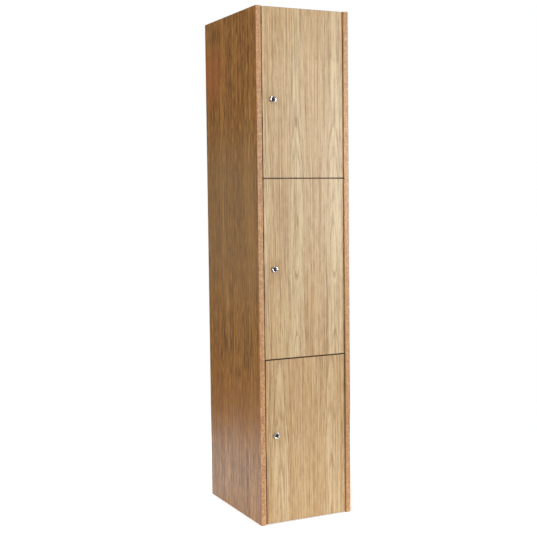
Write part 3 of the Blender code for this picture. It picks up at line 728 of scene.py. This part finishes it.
bpy.ops.mesh.delete(type="FACE")
bpy.ops.mesh.select_all(action="SELECT")
bpy.ops.mesh.remove_doubles(threshold=0.00002)
bpy.ops.mesh.normals_make_consistent(inside=False)
bpy.ops.object.mode_set(mode="OBJECT")
smooth(barrel, 40)
fit_to_doors(barrel, "lock_barrel", chrome, "door", "chrome")

# ---- Key plugs -------------------------------------------------------------------------------
# The part that the key turns, of plated brass, coloured near black as painted shade and dark
# reflection for its recessed face: a face with a turned groove and a keyway with its wards, and a
# thinner tail that carries the cam.
RIM_RISE = 0.4 * MM            # the height of the face's rounded edge
TAIL_RADIUS = 3 * MM
TAIL_START = 3 * MM            # behind the door's rear face
KEYWAY_DEPTH = 12 * MM         # of the cutter, which is half in the plug
# Painted shade: the plug's near-black colour stands in for the shade and dark reflection of the
# recessed face.
plug_shade_metal = metal_material("plug_finish", (0.055, 0.055, 0.06, 1), (0.03, 0.03, 0.033, 1), 0.38)
low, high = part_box("upper_key_plug")
plug_radius = (high.x - low.x) / 2
shoulder = upper_box[1].y + TAIL_START
plug = rod_at("upper_lock_plug", plug_radius, shoulder - low.y - RIM_RISE,
              (centre.x, (shoulder + low.y + RIM_RISE) / 2, centre.z), sides=64)
edit(plug)
pick(plug, lambda at, normal: normal.y < -0.9)
ridges((0.15, 0.25), (0.25, 0.15), (0.5, 0.0), (0.15, -0.2), (0.2, 0.0), (0.15, 0.2))
pick(plug, lambda at, normal: normal.y > 0.9)
inset(plug_radius - TAIL_RADIUS)
bpy.ops.mesh.extrude_region_move(TRANSFORM_OT_translate={"value": (0, high.y - shoulder, 0)})
bpy.ops.object.mode_set(mode="OBJECT")
for width, height, right, up in ((1.1, 6.8, 0, 0), (1.0, 1.6, 0.5, 1.2), (1.0, 1.4, -0.5, -1.6)):
    carve(plug, (width * MM, KEYWAY_DEPTH, height * MM),
          (centre.x + right * MM, low.y, centre.z + up * MM))
smooth(plug, 35)
fit_to_doors(plug, "key_plug", plug_shade_metal, "plug", "steel")

# ---- Tokens ----------------------------------------------------------------------------------
# A plain struck brass token with raised rims and plain rings. It lies in the lock's return cup,
# in the coin's channel behind the cover.
RIM_HEIGHT = 0.15 * MM
token_brass = metal_material("token_finish", (0.80, 0.60, 0.27, 1), (0.58, 0.40, 0.16, 1), 0.25)
low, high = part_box("upper_coin")
token = rod_at("upper_token", (high.x - low.x) / 2, high.y - low.y - 2 * RIM_HEIGHT,
               (low + high) / 2, sides=96)
edit(token)
pick(token, lambda at, normal: abs(normal.y) > 0.9)
ridges((0.25, 0.15), (1.2, 0.0), (0.2, -0.3), (2.4, 0.0), (0.2, 0.2), (0.9, 0.0), (0.2, -0.2),
       (2.6, 0.0), (0.2, 0.2))
bpy.ops.object.mode_set(mode="OBJECT")
smooth(token, 40)
fit_to_doors(token, "coin", token_brass, "coin", "token_brass")

# ---- Lock cases ------------------------------------------------------------------------------
# Black glass-filled nylon, finely textured: a moulded case with the works and the coin's channel,
# and a cover that four screws hold on.
plastic, tree, shader = new_material("case_plastic_finish")
spot = node(tree, "TexCoord").outputs["Object"]
grit = node(tree, "TexNoise", Vector=spot, Scale=900.0, Detail=2.0).outputs["Fac"]
tree.links.new(blended(tree, grit, (0.028, 0.028, 0.030, 1), (0.055, 0.055, 0.058, 1)),
               shader.inputs["Base Color"])
tree.links.new(ramped(tree, grit, 0.3, 0.7, 0.40, 0.58), shader.inputs["Roughness"])
bump = node(tree, "Bump", Height=grit, Strength=0.25, Distance=0.0001)
tree.links.new(bump.outputs[0], shader.inputs["Normal"])
SCREW_EDGE = 6 * MM            # from the cover's edges to its screws
SCREW_SPACING = 31 * MM        # between the two columns of screws
low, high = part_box("upper_lock_cover")
cover_screws = row_of(screw_model, "upper_lock_cover_screws", [
    Matrix.Translation((x, high.y, z)) @ to_back
    for x in (low.x + SCREW_EDGE, low.x + SCREW_EDGE + SCREW_SPACING)
    for z in (low.z + SCREW_EDGE, high.z - SCREW_EDGE)])
cover = refined("upper_lock_cover", 0.5 * MM)
case = refined("upper_lock_case", 0.25 * MM)
fit_to_doors(cover, "lock_cover", plastic, "door", "case_plastic")
fit_to_doors(case, "lock_case", plastic, "door", "case_plastic")
fit_to_doors(cover_screws, "cover_screws", zinc, "door", "steel")

# ---- Bolts, cams, catches and strike plates --------------------------------------------------
# Zinc-plated pressings: the cam on the plug draws the bolt, the catch swings under the coin, and
# the strike plate is screwed to the left side panel.
STRIKE_END = 6.5 * MM          # from the strike plate's end to its screw
for part, body in (("lock_cam", "plug"), ("deadbolt", "bolt"), ("coin_catch", "catch")):
    fit_to_doors(refined("upper_" + part, 0.2 * MM), part, zinc, body, "steel")
low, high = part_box("upper_strike_plate")
to_right = Matrix.Rotation(math.pi / 2, 4, "Y")
strike_screws = row_of(screw_model, "upper_strike_screws", [
    Matrix.Translation((high.x, (low.y + high.y) / 2, z)) @ to_right
    for z in (low.z + STRIKE_END, high.z - STRIKE_END)])
strike_plate = refined("upper_strike_plate", 0.3 * MM)
fit_to_doors(strike_plate, "strike_plate", zinc, "carcass", "steel")
fit_to_doors(strike_screws, "strike_screws", zinc, "carcass", "steel")
bpy.data.objects.remove(screw_model, do_unlink=True)

# ---- Sizes, and the end ----------------------------------------------------------------------
# The finished pieces' box, in metres, is found here, as the solids' box was found after the
# import.
low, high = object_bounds()
